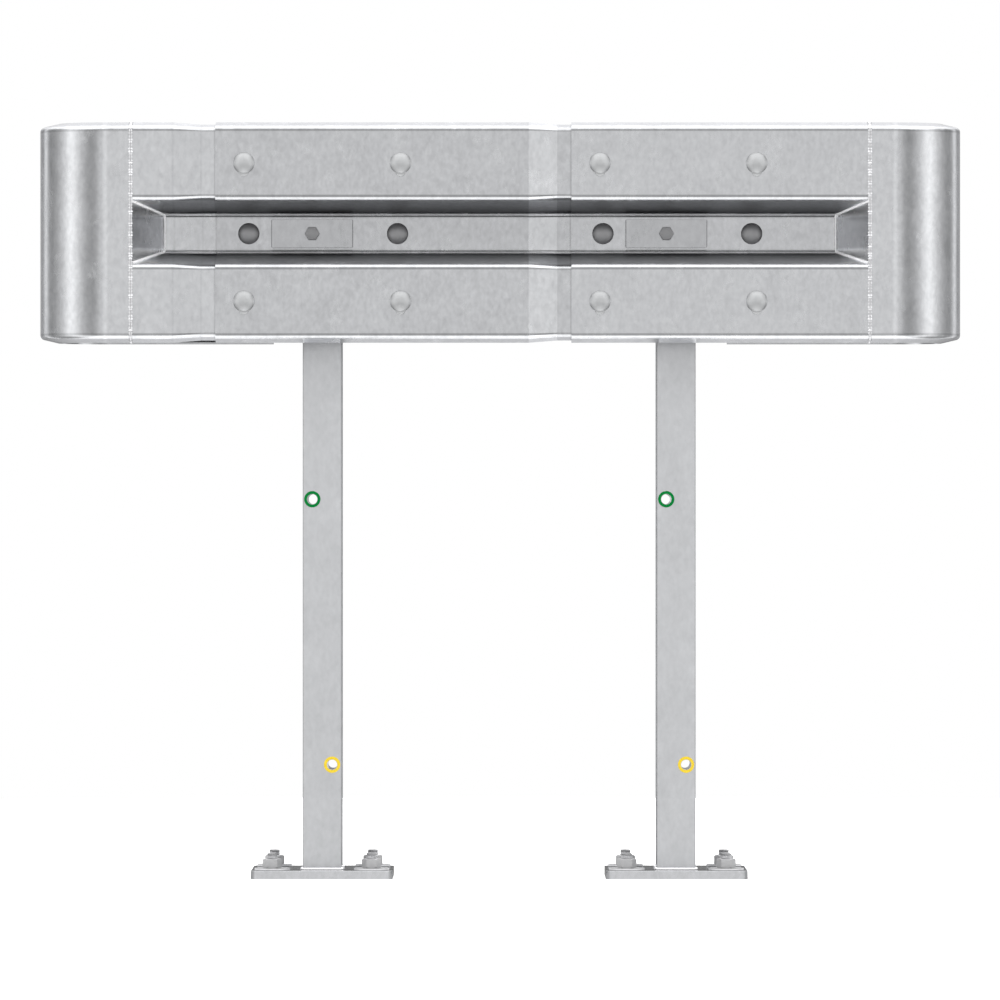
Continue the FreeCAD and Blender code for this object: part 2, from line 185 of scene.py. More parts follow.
class BarrierDetail(bpy.types.PropertyGroup):
    """Sizes of the beads, threads and worked edges"""

    bead_width: size_property("Seam bead width", "Width of the bead round each nose", 0.0051)
    bead_rise: size_property("Seam bead rise", "Height of that bead over the sheet", 0.0012)
    bead_pitch: size_property("Bead ripple", "Distance between the ripples of a bead", 0.0042)
    fillet_radius: size_property("Closure bead", "Size of the bead round each closure plate", 0.0024)
    fillet_turn: size_property("Closure bead turn", "Radius of that bead's turns in the valley", 0.005)
    foot_radius: size_property("Foot bead", "Size of the bead round each post's foot", 0.0034)
    coarse_pitch: size_property("Coarse thread", "Pitch of the splice and anchor threads", 0.002)
    fine_pitch: size_property("Post bolt thread", "Pitch of the post bolt's thread", 0.00175)
    thread_depth: size_property("Thread depth", "Depth of the threads", 0.0011)
    plate_edge: size_property("Plate edge", "Width of the worn edge on plates", 0.0006)
    post_edge: size_property("Post edge", "Width of the rolled edge on posts", 0.0005)
    strap_edge: size_property("Strap edge", "Width of the worn edge on straps", 0.0002)


class BarrierStudio(bpy.types.PropertyGroup):
    """Floor, light and camera"""

    floor_size: size_property("Floor", "Width of the pale floor", 7.0)
    light: bpy.props.FloatProperty(name="Light", description="Strength of the studio", default=3.2, min=0)
    camera_distance: size_property("Camera distance", "From the crest plane to the camera", 13.0)
    camera_height: size_property("Camera height", "Height of the camera over the floor", 0.5339)
    camera_shift: bpy.props.FloatProperty(
        name="Camera side", description="Place of the camera along the barrier", default=-0.00035,
        subtype="DISTANCE", unit="LENGTH")
    lens: bpy.props.FloatProperty(
        name="Lens", description="Focal length", default=333.45, min=1, subtype="DISTANCE_CAMERA",
        unit="CAMERA")


class Socket:
    """Output of a node, which Python's operators and a few named calls work on."""

    def __init__(self, graph, node, name=0):
        self.graph = graph
        self.node = node
        self.socket = node.outputs[name]

    def output(self, name):
        return Socket(self.graph, self.node, name)

    def maths(self, operation, *terms):
        return self.graph.node("ShaderNodeMath", {"operation": operation}, dict(enumerate(terms)))

    def __add__(self, other):
        return self.maths("ADD", self, other)

    __radd__ = __add__

    def __sub__(self, other):
        return self.maths("SUBTRACT", self, other)

    def __rsub__(self, other):
        return self.maths("SUBTRACT", other, self)

    def __mul__(self, other):
        return self.maths("MULTIPLY", self, other)

    __rmul__ = __mul__

    def __truediv__(self, other):
        return self.maths("DIVIDE", self, other)

    def __neg__(self):
        return self.maths("MULTIPLY", self, -1)

    def magnitude(self):
        return self.maths("ABSOLUTE", self)

    def sign(self):
        return self.maths("SIGN", self)

    def root(self):
        return self.maths("SQRT", self)

    def arc_cosine(self):
        return self.maths("ARCCOSINE", self)

    def step(self, start, end):
        """0 before start, 1 after end and smooth between them."""
        settings = {"interpolation_type": "SMOOTHSTEP"}
        values = {"Value": self, "From Min": start, "From Max": end}
        return self.graph.node("ShaderNodeMapRange", settings, values)


class Graph:
    """The nodes of one material or world."""

    def __init__(self, tree):
        self.tree = tree
        tree.nodes.clear()

    def node(self, kind, settings=None, values=None, output=0):
        """Adds a node: its settings first, then a number, colour or link for each named socket."""
        node = self.tree.nodes.new(kind)
        for name, setting in (settings or {}).items():
            if name == "stops":
                self.set_stops(node.color_ramp, setting)
            else:
                setattr(node, name, setting)
        for name, value in (values or {}).items():
            if isinstance(value, Socket):
                self.tree.links.new(value.socket, node.inputs[name])
            else:
                node.inputs[name].default_value = value
        return Socket(self, node, output) if node.outputs else node

    def set_stops(self, ramp, stops):
        ramp.interpolation = "LINEAR"
        while len(ramp.elements) < len(stops):
            ramp.elements.new(0)
        for element, (place, grey) in zip(ramp.elements, stops):
            element.position = place
            element.color = (grey, grey, grey, 1)

    def vector(self, operation, *terms):
        return self.node("ShaderNodeVectorMath", {"operation": operation}, dict(enumerate(terms)))

    def mixed(self, factor, first, second):
        """Colour between the first and the second."""
        values = {"Factor": factor, 6: first, 7: second}
        return self.node("ShaderNodeMix", {"data_type": "RGBA"}, values, 2)

    def place(self):
        """Point of the object."""
        return self.node("ShaderNodeTexCoord", None, None, "Object")

    def axis(self, vector, name):
        return self.node("ShaderNodeSeparateXYZ", None, {"Vector": vector}, name)

    def toned(self, colour, tone):
        """Colour times a varying tone."""
        channels = zip(("Red", "Green", "Blue"), colour)
        return self.node("ShaderNodeCombineColor", None, {name: tone * share for name, share in channels})

    def noise(self, place, width, detail=3.0, roughness=0.55):
        values = {"Vector": place, "Scale": 1 / width, "Detail": detail, "Roughness": roughness}
        return self.node("ShaderNodeTexNoise", None, values, "Fac")


def rgba(colour, factor=1.0):
    return tuple(min(channel * factor, 1.0) for channel in colour) + (1.0,)


def new_graph(name):
    material = bpy.data.materials.new(name)
    material.use_nodes = True
    return material, Graph(material.node_tree)


def metal_output(graph, colour, roughness, tint, height, lift, metallic=1.0):
    """Metal shader with a surface relief, lift metres high."""
    relief = graph.node("ShaderNodeBump", None, {"Height": height, "Strength": 1.0, "Distance": lift})
    values = {
        "Base Color": colour, "Metallic": metallic, "Roughness": roughness, "Specular Tint": rgba(tint),
        "Normal": relief}
    shader = graph.node("ShaderNodeBsdfPrincipled", None, values)
    graph.node("ShaderNodeOutputMaterial", None, {"Surface": shader})


def zinc_place(graph, shift):
    """Point of the piece, moved so that two pieces don't share a pattern."""
    return graph.vector("ADD", graph.place(), (shift, 0.37 * shift, 0.61 * shift))


class ZincCoat:
    """Hot-dip zinc: faint crystals, clouds of three sizes, upright streaks and pale frosted patches."""

    drawn_out = (1, 1, 0.6)
    streaked = (1, 1, 0.08)
    elsewhere = (3.1, 1.7, 0.9)

    def __init__(self, name, finish, shade, shift, streaks, patches, contrast=1.0):
        self.finish = finish
        self.material, self.graph = new_graph(name)
        graph = self.graph
        place = zinc_place(graph, shift)
        upright = graph.vector("MULTIPLY", place, self.drawn_out)
        self.clouds = graph.noise(place, finish.cloud, 2.0)
        self.mottle = graph.noise(upright, finish.mottle, 2.0)
        grain = graph.noise(upright, finish.grain, 1.0)
        values = {"Vector": place, "Scale": 1 / finish.spangle}
        crystals = graph.node("ShaderNodeTexVoronoi", None, values, "Color")
        facet = graph.node("ShaderNodeSeparateColor", None, {"Color": crystals})
        streak = graph.noise(graph.vector("MULTIPLY", place, self.streaked), finish.streak, 2.0)
        frosted = graph.vector("ADD", upright, self.elsewhere)
        sugar = graph.noise(frosted, finish.sugar, 1.0).step(0.40, 0.62)
        self.frost = graph.noise(frosted, finish.frost, 3.0, 0.6).step(0.56, 0.66) * (0.3 + sugar)
        patchy = 0.20 * (self.clouds - 0.5) + 0.20 * (self.mottle - 0.5)
        patchy = patchy + 0.26 * (grain - 0.5) + 0.05 * (facet - 0.5)
        self.tone = shade * (1 + (contrast * patchy + streaks * (streak - 0.5) + patches * self.frost))
        uneven = 0.08 * (self.clouds - 0.5) + 0.06 * (self.mottle - 0.5) + 0.06 * self.frost
        self.roughness = finish.gloss + uneven
        self.metallic = 1.0

    def between(self, value, start, end, edge):
        """1 between start and end, 0 outside, with soft edges."""
        return value.step(start - edge, start + edge) * (1 - value.step(end - edge, end + edge))

    def along(self):
        return self.graph.axis(self.graph.place(), "X")

    def paint_light_and_shade(self, along, start, end, gain, edge=0.6 * MM, within=1):
        """Paints a highlight on a stretch between two places along the barrier when gain is above 0, and
        shade when it is below.
        """
        self.tone = self.tone * (1 + gain * self.between(along, start, end, edge) * within)

    def section(self, centre, stops):
        """Painted light and shade by the distance above or below the middle of the folded section, in
        millimetres.
        """
        self.rise = self.graph.axis(self.graph.place(), "Z") - centre
        self.height = self.rise.magnitude()
        scaled = [(place / SECTION_REACH, tone / TONE_PEAK) for place, tone in stops]
        share = self.height / (SECTION_REACH * MM)
        ramp = self.graph.node("ShaderNodeValToRGB", {"stops": scaled}, {"Fac": share})
        self.tone = self.tone * (TONE_PEAK * ramp)

    def matt(self, start, end):
        """Painted reflection: a matt, nearly non-metallic band between two distances from the middle of the
        section, which shows grey in place of a bend's reflection.
        """
        self.metallic = 1 - 0.9 * self.between(self.height, start, end, 0.4 * MM)

    def dulled(self, start, end, amount):
        """Roughens a band between two distances from the middle of the section."""
        self.roughness = self.roughness + amount * self.between(self.height, start, end, 1 * MM)

    def rim(self, node, width, fall):
        """Painted shade: darkens the two upright edges of a node, width metres wide."""
        lowest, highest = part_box(node)
        aside = (self.along() - (lowest.x + highest.x) / 2).magnitude()
        edge = (highest.x - lowest.x) / 2
        self.tone = self.tone * (1 - fall * aside.step(edge - width, edge - 0.4 * width))

    def finished(self, rougher=0.0):
        """Closes the shader and gives the material."""
        base = self.graph.toned(self.finish.zinc, self.tone)
        roughness = self.roughness + rougher
        relief = 0.6 * self.clouds + 0.4 * self.mottle
        metal_output(self.graph, base, roughness, self.finish.edge_zinc, relief, 0.05 * MM, self.metallic)
        return self.material


def head_shade(kind, stops, fall, rim):
    """Painted light and shade on one kind of splice heads: by height, darker towards the sides and lighter
    again at the rims.
    """
    xs, _, zs = washer_places("left_" + kind + "_washers", SPLICE_WASHER_RADIUS)
    lap, beside = -(xs[0] + xs[-1]) / 2, (xs[-1] - xs[0]) / 2
    middle, over = (zs[0] + zs[-1]) / 2, (zs[-1] - zs[0]) / 2
    radius = SPLICE_WASHER_RADIUS

    def shade(graph):
        place = graph.place()
        height = graph.axis(place, "Z") - middle
        over_centre = (height.magnitude() - over) * height.sign()
        scaled = [(0.5 + share / (2 * HEAD_REACH), tone / TONE_PEAK) for share, tone in stops]
        factor = 0.5 + over_centre / (2 * HEAD_REACH * radius)
        ramp = graph.node("ShaderNodeValToRGB", {"stops": scaled}, {"Fac": factor})
        aside = ((graph.axis(place, "X").magnitude() - lap).magnitude() - beside).magnitude()
        sides = 1 - fall * aside.step(0.35 * radius, 0.95 * radius)
        return TONE_PEAK * ramp * (sides + rim * aside.step(0.84 * radius, 0.95 * radius))

    return shade


def dark_cap(top, depth, fall):
    """Darkens the uppermost stretch of a stud."""
    def shade(graph):
        return 1 - fall * graph.axis(graph.place(), "Z").step(top - depth - 0.5 * MM, top - depth)

    return shade


def dark_rims(lowest, highest, width, fall):
    """Painted shade: darkens the lower and upper edges of a washer."""
    def shade(graph):
        height = graph.axis(graph.place(), "Z")
        lit = height.step(lowest + 0.5 * width, lowest + width) * (1 - height.step(highest - width, highest))
        return 1 - fall + fall * lit

    return shade


def plain_metal(
        name, colour, finish, grain, contrast, roughness=0.5, lift=0.06 * MM, shade=None, metallic=1.0):
    """Zinc on a small part: one colour with an uneven grain, and the painted light and shade that shade gives
    it.
    """
    material, graph = new_graph(name)
    place = zinc_place(graph, 0.2)
    coarse = graph.noise(place, grain, 4.0, 0.6)
    fine = graph.noise(place, 0.25 * grain, 3.0, 0.6)
    tone = 1 + contrast * (coarse - 0.5) + 0.5 * contrast * (fine - 0.5)
    if shade:
        tone = tone * shade(graph)
    base = graph.toned(colour, tone)
    uneven = roughness + 0.2 * (fine - 0.5)
    metal_output(graph, base, uneven, finish.edge_zinc, 0.5 * coarse + 0.5 * fine, lift, metallic)
    return material


def enamel(name, colour):
    """Glossy plastic of a marker ring, with a faint cast texture."""
    material, graph = new_graph(name)
    cast = graph.noise(zinc_place(graph, 0.1), 2 * MM, 3.0)
    shade = graph.mixed(cast.step(0.3, 0.7), rgba(colour, 0.94), rgba(colour))
    relief = graph.node("ShaderNodeBump", None, {"Height": cast, "Strength": 1.0, "Distance": 0.02 * MM})
    values = {
        "Base Color": shade, "Roughness": 0.45 + 0.1 * cast, "Normal": relief, "Specular IOR Level": 0.02}
    shader = graph.node("ShaderNodeBsdfPrincipled", None, values)
    graph.node("ShaderNodeOutputMaterial", None, {"Surface": shader})
    return material


def dress(node, material):
    """Gives a node of the frame its finish."""
    for holder in frame["nodes"][node].material_slots:
        holder.material = material


def piece_from(name, mesh_work, material, replaced, sharp_from=35.0):
    """Makes the finished object of a bmesh, which rides on the root and stands for nodes of the frame."""
    mesh = bpy.data.meshes.new(name)
    mesh_work.to_mesh(mesh)
    mesh_work.free()
    mesh.shade_smooth()
    mesh.set_sharp_from_angle(angle=math.radians(sharp_from))
    piece = bpy.data.objects.new(name, mesh)
    bpy.context.scene.collection.objects.link(piece)
    mesh.materials.append(material)
    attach(piece, "root")
    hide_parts(*replaced)
    return piece


def even_normals(piece):
    """Keeps broad faces flat beside their eased edges."""
    even = piece.modifiers.new("even_normals", "WEIGHTED_NORMAL")
    even.keep_sharp = True


def detail_settings():
    return bpy.context.scene.barrier_detail


def finish_settings():
    return bpy.context.scene.barrier_finish


class Bead:
    """A weld bead that is laid along straight and turned stretches, one ripple after another."""

    swell = (1.0, 1.12, 0.70, 0.98, 1.08, 0.74, 1.05, 1.15, 0.68, 0.95, 1.0, 0.8)
    wander = (0, 0.07, -0.05, 0.03, -0.09, 0.08, -0.03)
    rings = 3
    sides = 16

    def __init__(self, mesh_work, start, across, outward, half_width, rise, sink, pitch, vigour):
        self.mesh_work = mesh_work
        self.place = start.copy()
        self.across = across.normalized()
        self.outward = outward.normalized()
        self.step_length = pitch / self.rings
        self.vigour = vigour
        self.size = 1.0
        self.count = 0
        made = bmesh.ops.create_circle(mesh_work, segments=self.sides, radius=1.0)
        self.ring = made["verts"]
        bow = 0.35 * half_width
        for vert in self.ring:
            side, up = vert.co.x, vert.co.y
            height = rise * min(2 * (1 - abs(side)), 1.0) if up > 0 else sink * up
            ahead = bow * max(up, 0.0)
            vert.co = start + self.across * (side * half_width) + self.outward * height + self.along() * ahead
        self.edges = list(dict.fromkeys(edge for vert in self.ring for edge in vert.link_edges))
        self.cap()

    def along(self):
        return self.outward.cross(self.across)

    def cap(self):
        bmesh.ops.edgeloop_fill(self.mesh_work, edges=self.edges)

    def next_ring(self):
        made = bmesh.ops.extrude_edge_only(self.mesh_work, edges=self.edges)["geom"]
        self.ring = [part for part in made if isinstance(part, bmesh.types.BMVert)]
        self.edges = [part for part in made if isinstance(part, bmesh.types.BMEdge)]

    def breathe(self, size=None):
        """Sets the ring to the next ripple's size."""
        self.count += 1
        uneven = self.swell[self.count % len(self.swell)] + self.wander[self.count % len(self.wander)]
        wanted = size or 1 + self.vigour * (uneven - 1)
        factor = wanted / self.size
        self.size = wanted
        about = Matrix.Translation(-self.place)
        bmesh.ops.scale(self.mesh_work, vec=(factor,) * 3, space=about, verts=self.ring)

    def run(self, length):
        steps = max(1, round(length / self.step_length))
        move = self.along() * (length / steps)
        for _ in range(steps):
            self.next_ring()
            bmesh.ops.translate(self.mesh_work, vec=move, verts=self.ring)
            self.place += move
            self.breathe()

    def turn(self, angle, axis, radius, steps=4):
        """Turns about a centre that lies radius away, on the side that the turn bends to."""
        towards = axis.cross(self.along()).normalized()
        centre = self.place + towards * (radius if angle > 0 else -radius)
        matrix = Matrix.Rotation(angle / steps, 3, axis)
        for _ in range(steps):
            self.next_ring()
            bmesh.ops.rotate(self.mesh_work, cent=centre, matrix=matrix, verts=self.ring)
            self.place = centre + matrix @ (self.place - centre)
            self.across = matrix @ self.across
            self.outward = matrix @ self.outward
            self.breathe()

    def end(self):
        for size in (0.75, 0.4):
            self.next_ring()
            move = self.along() * self.step_length
            bmesh.ops.translate(self.mesh_work, vec=move, verts=self.ring)
            self.place += move
            self.breathe(size)
        self.cap()


def beam_section():
    """Front, flange depth, groove depth, crest's outer and inner half heights and centre height of a beam."""
    lowest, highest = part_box("right_end_beam")
    depth = highest.y - lowest.y
    centre = (lowest.z + highest.z) / 2
    outer = (highest.z - lowest.z) / 2 - FLANGE_DEPTH * math.tan(FOLD_SLOPE)
    groove = depth - SHEET
    inner = VALLEY_HALF + groove * math.tan(FOLD_SLOPE)
    return lowest.y, FLANGE_DEPTH, groove, outer, inner, centre


def seam_bead(mesh_work, x, detail):
    """Bead down the seam of a nose: over the upper bend, down the crest and under the lower bend."""
    front, flange, _, outer, _, centre = beam_section()
    turn = math.pi / 2 - FOLD_SLOPE
    trim = BEND_RADIUS * math.tan(turn / 2)
    slant = flange / math.cos(FOLD_SLOPE)
    start = Vector((x, front + flange, centre + outer + flange * math.tan(FOLD_SLOPE)))
    outward = Vector((0, -math.sin(FOLD_SLOPE), math.cos(FOLD_SLOPE)))
    bead = Bead(
        mesh_work, start, -X_AXIS, outward, detail.bead_width / 2, detail.bead_rise, sink=0.4 * MM,
        pitch=detail.bead_pitch, vigour=1.35)
    bead.run(slant - trim)
    bead.turn(turn, X_AXIS, BEND_RADIUS, 6)
    bead.run(2 * (outer - trim))
    bead.turn(turn, X_AXIS, BEND_RADIUS, 6)
    bead.run(slant - trim)
    bead.cap()


def closure_bead(mesh_work, way, detail):
    """Bead round a closure plate: in along one sloping wall, up the valley and out along the other."""
    front, _, groove, _, inner, centre = beam_section()
    foot_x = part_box("right_groove_closure")[0].x
    mouth_height = centre - inner + SHEET * math.tan(FOLD_SLOPE)
    mouth = Vector((way * (foot_x + CLOSURE_RUN), front + SHEET, mouth_height))
    deep = Vector((way * foot_x, front + groove, centre - VALLEY_HALF))
    plate = Vector((-way * (groove - SHEET), -CLOSURE_RUN, 0)).normalized()
    slope = (deep - mouth).normalized()
    axis = slope.cross(Z_AXIS).normalized()
    turn = slope.angle(Z_AXIS)
    trim = detail.fillet_turn * math.tan(turn / 2)
    outward = (plate + axis.cross(slope)).normalized()
    radius = detail.fillet_radius
    start = mouth + slope * radius
    bead = Bead(
        mesh_work, start + outward * (0.2 * radius), slope.cross(outward), outward, 0.85 * radius, radius,
        sink=0.8 * radius, pitch=detail.bead_pitch, vigour=0.6)
    side_length = (deep - start).length - trim
    bead.run(side_length)
    bead.turn(turn, axis, detail.fillet_turn, 5)
    bead.run(2 * (VALLEY_HALF - trim))
    bead.turn(turn, axis, detail.fillet_turn, 5)
    bead.run(side_length)
    bead.end()


def foot_bead(mesh_work, side, detail):
    """Closed bead round the foot of an I-section post."""
    lowest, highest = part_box(side + "_post")
    middle = (lowest + highest) / 2
    half_width = (highest.x - lowest.x) / 2
    depth = highest.y - lowest.y
    start = Vector((middle.x, lowest.y, lowest.z))
    outward = (Z_AXIS - Y_AXIS).normalized()
    radius = detail.foot_radius
    bead = Bead(
        mesh_work, start, X_AXIS.cross(outward), outward, 1.15 * radius, radius, sink=0.5 * radius,
        pitch=detail.bead_pitch, vigour=0.3)
    quarter = math.pi / 2
    tip = half_width - POST_WEB / 2 - POST_ROOT
    web = depth - 2 * (POST_FLANGE + POST_ROOT)
    for _ in range(2):
        bead.run(half_width)
        bead.turn(quarter, Z_AXIS, 0)
        bead.run(POST_FLANGE)
        bead.turn(quarter, Z_AXIS, 0)
        bead.run(tip)
        bead.turn(-quarter, Z_AXIS, POST_ROOT, 6)
        bead.run(web)
        bead.turn(-quarter, Z_AXIS, POST_ROOT, 6)
        bead.run(tip)
        bead.turn(quarter, Z_AXIS, 0)
        bead.run(POST_FLANGE)
        bead.turn(quarter, Z_AXIS, 0)
        bead.run(half_width)
    bead.cap()


def fresh():
    return bmesh.new()


def outline(mesh_work, corners, start=None):
    """Joins (radius, height) corners by edges, from a vertex where there is one."""
    verts = [start] if start else []
    verts += [mesh_work.verts.new((radius, 0, height)) for radius, height in corners]
    for pair in zip(verts, verts[1:]):
        mesh_work.edges.new(pair)


def wires(mesh_work):
    return mesh_work.verts[:] + mesh_work.edges[:]


def lathe(mesh_work, steps=40):
    """Turns the outline that a bmesh holds once about Z."""
    bmesh.ops.spin(
        mesh_work, geom=wires(mesh_work), cent=(0, 0, 0), axis=(0, 0, 1), dvec=(0, 0, 0), angle=2 * math.pi,
        steps=steps, use_merge=True, use_normal_flip=False, use_duplicate=False)
    bmesh.ops.remove_doubles(mesh_work, verts=mesh_work.verts, dist=1e-6)


def thread(mesh_work, radius, start, end, pitch, depth):
    """Screw thread about Z from start to end, with a tapered tip."""
    steps = 24
    taper = 0.6 * pitch
    base = start - pitch
    turns = math.ceil((end - taper - base) / pitch) + 1
    root = radius - depth
    flat = pitch / 8
    crest = base + pitch / 2
    outline(mesh_work, [
        (root, base), (root, base + flat), (radius, crest - flat / 2), (radius, crest + flat / 2),
        (root, base + pitch)])
    bmesh.ops.spin(
        mesh_work, geom=wires(mesh_work), cent=(0, 0, 0), axis=(0, 0, 1), dvec=(0, 0, pitch / steps),
        angle=2 * math.pi * turns, steps=steps * turns, use_merge=False, use_normal_flip=False,
        use_duplicate=False)
    bmesh.ops.remove_doubles(mesh_work, verts=mesh_work.verts, dist=1e-5)
    for level, keep_below in ((start, False), (end - taper, True)):
        cut = bmesh.ops.bisect_plane(
            mesh_work, geom=wires(mesh_work) + mesh_work.faces[:], dist=1e-7, plane_co=(0, 0, level),
            plane_no=(0, 0, 1), clear_outer=keep_below, clear_inner=not keep_below)
        rim = [part for part in cut["geom_cut"] if isinstance(part, bmesh.types.BMEdge)]
        bmesh.ops.edgeloop_fill(mesh_work, edges=rim)
    top = max(mesh_work.faces, key=lambda face: face.calc_center_median().z)
    tip = bmesh.ops.extrude_discrete_faces(mesh_work, faces=[top])["faces"][0]
    bmesh.ops.translate(mesh_work, vec=(0, 0, taper), verts=tip.verts)
    bmesh.ops.scale(mesh_work, vec=(0.84, 0.84, 1), verts=tip.verts)


def merge(target, source, matrix=None):
    """Adds one bmesh to another, moved by the matrix."""
    if matrix is not None:
        bmesh.ops.transform(source, matrix=matrix, verts=source.verts)
    holder = bpy.data.meshes.new("holder")
    source.to_mesh(holder)
    source.free()
    target.from_mesh(holder)
    bpy.data.meshes.remove(holder)


def threaded_rod(radius, plain_from, thread_from, end, pitch, depth):
    """Rod along Z with a plain stretch and then a thread."""
    rod = fresh()
    thread(rod, radius, thread_from, end, pitch, depth)
    shank = fresh()
    outline(shank, [(0, plain_from), (radius, plain_from), (radius, thread_from), (0, thread_from)])
    lathe(shank)
    merge(rod, shank)
    bmesh.ops.recalc_face_normals(rod, faces=rod.faces)
    return rod


def domed_head(radius, height, rim):
    """Low dome on a short rim, with its seat at z = 0 and its crown at z = -height."""
    head = fresh()
    dome = height - rim
    sphere = (radius ** 2 + dome ** 2) / (2 * dome)
    crown = head.verts.new((0, 0, -height))
    made = bmesh.ops.spin(
        head, geom=[crown], cent=(0, 0, sphere - height), axis=(0, -1, 0), dvec=(0, 0, 0),
        angle=math.asin(radius / sphere), steps=10, use_merge=False, use_normal_flip=False,
        use_duplicate=False)
    shoulder = made["geom_last"][0]
    shoulder.co += Vector((-SOFT_EDGE, 0, -0.3 * SOFT_EDGE))
    outline(head, [(radius, SOFT_EDGE - rim), (radius, 0), (0, 0)], shoulder)
    lathe(head, 48)
    bmesh.ops.recalc_face_normals(head, faces=head.faces)
    return head


def bevelled_prism(radius, corners, height, bevel, rounds):
    """Closed prism from z = 0 to z = -height, with a bevel round its front."""
    prism = fresh()
    bmesh.ops.create_circle(prism, cap_ends=True, segments=corners, radius=radius)
    made = bmesh.ops.extrude_face_region(prism, geom=prism.faces[:])["geom"]
    lifted = [part for part in made if isinstance(part, bmesh.types.BMVert)]
    bmesh.ops.translate(prism, vec=(0, 0, -height), verts=lifted)
    front = [edge for edge in prism.edges if all(vert in lifted for vert in edge.verts)]
    bmesh.ops.bevel(
        prism, geom=front, offset=bevel, segments=rounds, profile=0.5, affect="EDGES", material=-1)
    bmesh.ops.recalc_face_normals(prism, faces=prism.faces)
    return prism


def nib():
    """Flat tongue of a splice bolt that shows under its head."""
    tongue = bevelled_prism(NIB_RADIUS, 32, NIB_THICKNESS, 0.8 * MM, 3)
    bmesh.ops.translate(tongue, vec=(0, NIB_DROP, 0), verts=tongue.verts)
    return tongue


def hexagon_head(flats, height):
    """Chamfered hexagon with its seat at z = 0, its crown at z = -height and a corner along X."""
    head = bevelled_prism(flats / 2 / math.cos(math.pi / 6), 6, height, 0.9 * MM, 2)
    bmesh.ops.rotate(head, cent=(0, 0, 0), matrix=Matrix.Rotation(math.pi / 6, 3, "Z"), verts=head.verts)
    return head


# A bolt is made along Z with its head at negative z. This turns Z to the rear and keeps X.
TO_REAR = Matrix.Rotation(-math.pi / 2, 4, "X")


def washer_places(node, radius):
    """Centres of the washers in a group, from the group's box."""
    lowest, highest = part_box(node)
    xs = sorted({round(lowest.x + radius, 6), round(highest.x - radius, 6)})
    ys = sorted({round(lowest.y + radius, 6), round(highest.y - radius, 6)})
    zs = sorted({round(lowest.z + radius, 6), round(highest.z - radius, 6)})
    return xs, ys, zs


def splice_bolts(side, kind, with_nib, detail):
    """Domed bolts of one lap: heads in front, threads behind."""
    node = side + "_" + kind + "_bolts"
    lowest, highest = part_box(node)
    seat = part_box(side + "_" + kind + "_washers")[0].y
    xs, _, zs = washer_places(side + "_" + kind + "_washers", SPLICE_WASHER_RADIUS)
    bearing = lowest.y + SPLICE_HEAD
    group = fresh()
    for x in xs:
        for z in zs:
            place = Matrix.Translation((x, bearing, z)) @ TO_REAR
            merge(group, domed_head(SPLICE_WASHER_RADIUS, SPLICE_HEAD, HEAD_RIM), place)
            rod = threaded_rod(
                SPLICE_RADIUS, 0, seat - bearing, highest.y - bearing, detail.coarse_pitch,
                detail.thread_depth)
            merge(group, rod, place)
            if with_nib:
                merge(group, nib(), place)
    return group


def post_bolt(side, detail):
    """Hexagon bolt that holds a cover strap, threaded behind the post."""
    lowest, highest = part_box(side + "_post_bolt")
    near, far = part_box(side + "_post_washer")
    bearing = lowest.y + POST_BOLT_HEAD
    place = Matrix.Translation(((near.x + far.x) / 2, bearing, (lowest.z + highest.z) / 2)) @ TO_REAR
    group = fresh()
    merge(group, hexagon_head(highest.z - lowest.z, POST_BOLT_HEAD), place)
    rod = threaded_rod(
        POST_BOLT_RADIUS, 0, near.y - bearing, highest.y - bearing, detail.fine_pitch, detail.thread_depth)
    merge(group, rod, place)
    return group


def anchor_studs(side, detail):
    """Four studs of one base plate, threaded above their washers."""
    lowest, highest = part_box(side + "_anchor_studs")
    xs, ys, _ = washer_places(side + "_anchor_washers", ANCHOR_WASHER_RADIUS)
    nut_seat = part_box(side + "_anchor_nuts")[0].z
    group = fresh()
    for x in xs:
        for y in ys:
            rod = threaded_rod(
                ANCHOR_RADIUS, lowest.z, nut_seat, highest.z, detail.coarse_pitch, detail.thread_depth)
            merge(group, rod, Matrix.Translation((x, y, 0)))
    return group


def edged_copy(node, width, wanted):
    """Copy of a node whose wanted edges are eased by a small bevel."""
    work = fresh()
    work.from_mesh(frame["nodes"][node].data)
    bmesh.ops.remove_doubles(work, verts=work.verts, dist=1e-6)
    bmesh.ops.dissolve_limit(work, angle_limit=math.radians(0.5), verts=work.verts, edges=work.edges)
    edges = [edge for edge in work.edges if edge.is_manifold and edge.is_convex and wanted(edge)]
    bmesh.ops.bevel(work, geom=edges, offset=width, segments=2, profile=0.5, affect="EDGES", material=-1)
    return work


def sharp_and_long(edge, shortest):
    return edge.calc_face_angle() > math.radians(30) and edge.calc_length() > shortest


